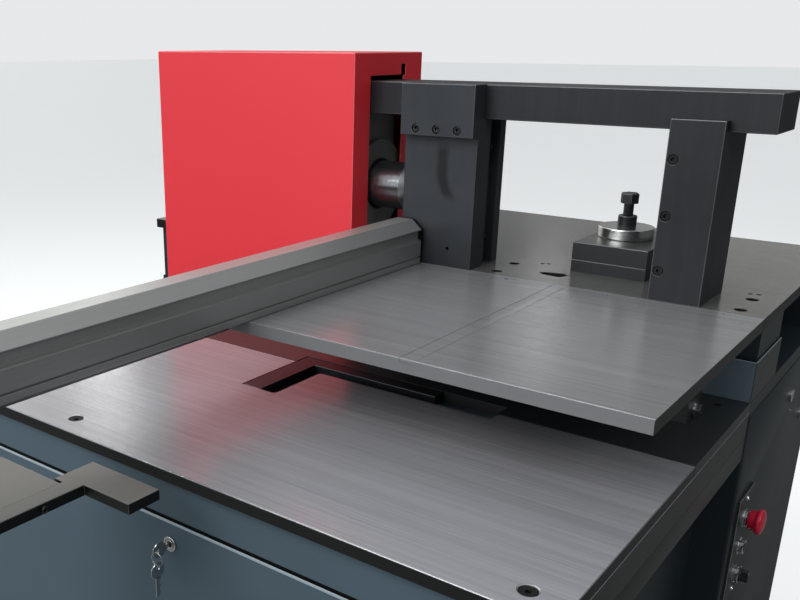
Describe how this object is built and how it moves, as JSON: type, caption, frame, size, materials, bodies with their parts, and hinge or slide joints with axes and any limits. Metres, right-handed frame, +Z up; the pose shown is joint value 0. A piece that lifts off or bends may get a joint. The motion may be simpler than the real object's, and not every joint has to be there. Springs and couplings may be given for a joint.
{
  "type": "busbar bending machine",
  "caption": "Hydraulic press for bending flat copper bars, with a horizontal ram, a die post and a length gauge over a two-level table.",
  "frame": {"origin": "floor point under the middle of the whole machine's box", "axes": "+X to the operator's right along the ram's travel, +Y from the operator to the back, +Z up"},
  "size_m": [1.23, 1.9, 1.315],
  "materials": {
    "ground_steel": "brushed, satin",
    "deck_steel": "ground, satin",
    "slate_paint": "fine satin powder coat",
    "black_paint": "satin powder coat",
    "black_steel": "black oxide, satin",
    "red_paint": "fine textured powder coat",
    "rod_chrome": "ground and chromed",
    "bright_steel": "turned",
    "screw_black": "black oxide",
    "anodised": "grey anodised",
    "black_plastic": "moulded",
    "red_plastic": "moulded",
    "tank_paint": "satin",
    "motor_aluminium": "cast and painted",
    "foot_zinc": "zinc plated"
  },
  "bodies": {
    "frame": {"front_table": "ground_steel", "raised_plate": "ground_steel", "centre_strip": "ground_steel", "round_die": "ground_steel", "deck": "deck_steel", "gauge_rail": "deck_steel", "face_frame": "slate_paint", "rear_cabinet": "slate_paint", "side_sheets": "slate_paint", "front_base": "slate_paint", "riser_beams": "slate_paint", "apron": "slate_paint", "hinge_frame_leaves": "slate_paint", "table_frame": "black_paint", "rear_table": "black_paint", "plate_supports": "black_paint", "button_plate": "black_paint", "die_post": "black_steel", "tie_beam": "black_steel", "cylinder_flange": "black_steel", "die_base": "black_steel", "die_block": "black_steel", "clamp_sleeve": "black_steel", "clamp_stud": "black_steel", "gland": "black_steel", "slot_bar": "black_steel", "cylinder_cover": "red_paint", "button_rings": "bright_steel", "panel_latches": "bright_steel", "support_bolts": "bright_steel", "hinge_pins": "bright_steel", "post_screws": "screw_black", "table_screws": "screw_black", "gauge_beam": "anodised", "beam_caps": "black_plastic", "oil_tank": "tank_paint", "cylinder_barrel": "tank_paint", "pump_motor": "motor_aluminium", "valve_block": "motor_aluminium", "levelling_feet": "foot_zinc"},
    "ram": {"ram": "black_steel", "guide_clamp": "black_steel", "ram_screws": "screw_black", "piston_rod": "rod_chrome", "rod_collar": "bright_steel"},
    "gauge": {"gauge_carriage": "bright_steel", "gauge_hanger": "bright_steel", "gauge_arm": "ground_steel", "stop_finger": "bright_steel", "finger_bolts": "screw_black"},
    "door": {"front_door": "slate_paint", "hinge_door_leaves": "slate_paint", "lock_housing": "bright_steel"},
    "lock": {"lock_plug": "bright_steel", "door_key": "bright_steel"},
    "keys": {"key_ring": "bright_steel", "spare_key": "bright_steel"},
    "stop": {"stop_button": "red_plastic"},
    "start": {"start_button": "black_plastic"},
    "selector": {"selector_knob": "black_plastic"}
  },
  "joints": [
    {"name": "ram_slide", "type": "slide", "parent": "frame", "child": "ram", "axis": [1, 0, 0], "range_m": [-0.06, 0.2]},
    {"name": "gauge_slide", "type": "slide", "parent": "frame", "child": "gauge", "axis": [0, 1, 0], "range_m": [-0.33, 0.38]},
    {"name": "door_swing", "type": "hinge", "parent": "frame", "child": "door", "pos_m": [0.08, -0.271, 0.141], "axis": [1, 0, 0], "range_deg": [0, 90]},
    {"name": "lock_turn", "type": "hinge", "parent": "door", "child": "lock", "pos_m": [0.085, -0.268, 0.744], "axis": [0, -1, 0], "range_deg": [0, 90]},
    {"name": "key_swing", "type": "hinge", "parent": "lock", "child": "keys", "pos_m": [0.085, -0.2894, 0.744], "axis": [1, 0, 0], "range_deg": [-70, 15]},
    {"name": "stop_press", "type": "slide", "parent": "frame", "child": "stop", "axis": [-1, 0, 0], "range_m": [0, 0.005], "stiffness_N_per_m": 1500, "springref_m": -0.003},
    {"name": "start_press", "type": "slide", "parent": "frame", "child": "start", "axis": [-1, 0, 0], "range_m": [0, 0.004], "stiffness_N_per_m": 900, "springref_m": -0.002},
    {"name": "selector_turn", "type": "hinge", "parent": "frame", "child": "selector", "pos_m": [0.585, 0.469, 0.538], "axis": [1, 0, 0], "range_deg": [-45, 45]}
  ]
}
